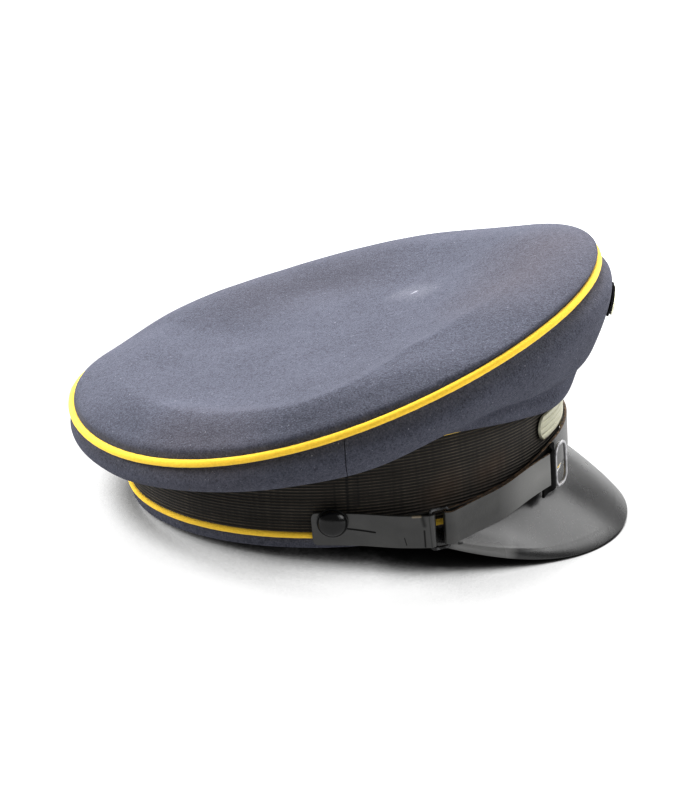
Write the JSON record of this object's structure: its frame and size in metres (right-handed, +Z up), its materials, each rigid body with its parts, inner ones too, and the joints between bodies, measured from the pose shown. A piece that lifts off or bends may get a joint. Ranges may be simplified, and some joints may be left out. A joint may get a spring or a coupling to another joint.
{
  "type": "visor cap",
  "caption": "Stiff round wool cap with a raised front, ribbed band, coloured piping, lacquered visor, buckled chin strap and plain metal badges",
  "frame": {"origin": "the middle of the bounding box in plan, on the surface that the cap rests on", "axes": "+X forward over the visor, +Y to the wearer's left, +Z up, with the cap tipped back as it rests by itself"},
  "size_m": [0.2688, 0.2426, 0.1329],
  "materials": {
    "wool": "napped wool cloth",
    "piping": "felted wool piping",
    "ribbon": "finely ribbed mohair band",
    "lacquer": "black lacquered vulcanised fibre, slightly worn",
    "strap_leather": "black lacquered leather, worn at the edges",
    "frame_metal": "black enamelled steel worn to grey",
    "button_metal": "glossy black enamel",
    "badge_metal": "pale cast aluminium, matt",
    "backing": "dark felt"
  },
  "bodies": {
    "root": {"crown_top": "wool", "crown_side_front": "wool", "crown_side_rear": "wool", "base_welt": "wool", "crown_piping": "piping", "band_top_piping": "piping", "band_bottom_piping": "piping", "band": "ribbon", "visor": "lacquer", "strap_short": "strap_leather", "strap_long": "strap_leather", "side_frame": "frame_metal", "front_frame": "frame_metal", "button_right": "button_metal", "button_left": "button_metal", "band_badge": "badge_metal", "crown_badge_backing": "backing", "crown_badge": "badge_metal"}
  },
  "joints": []
}
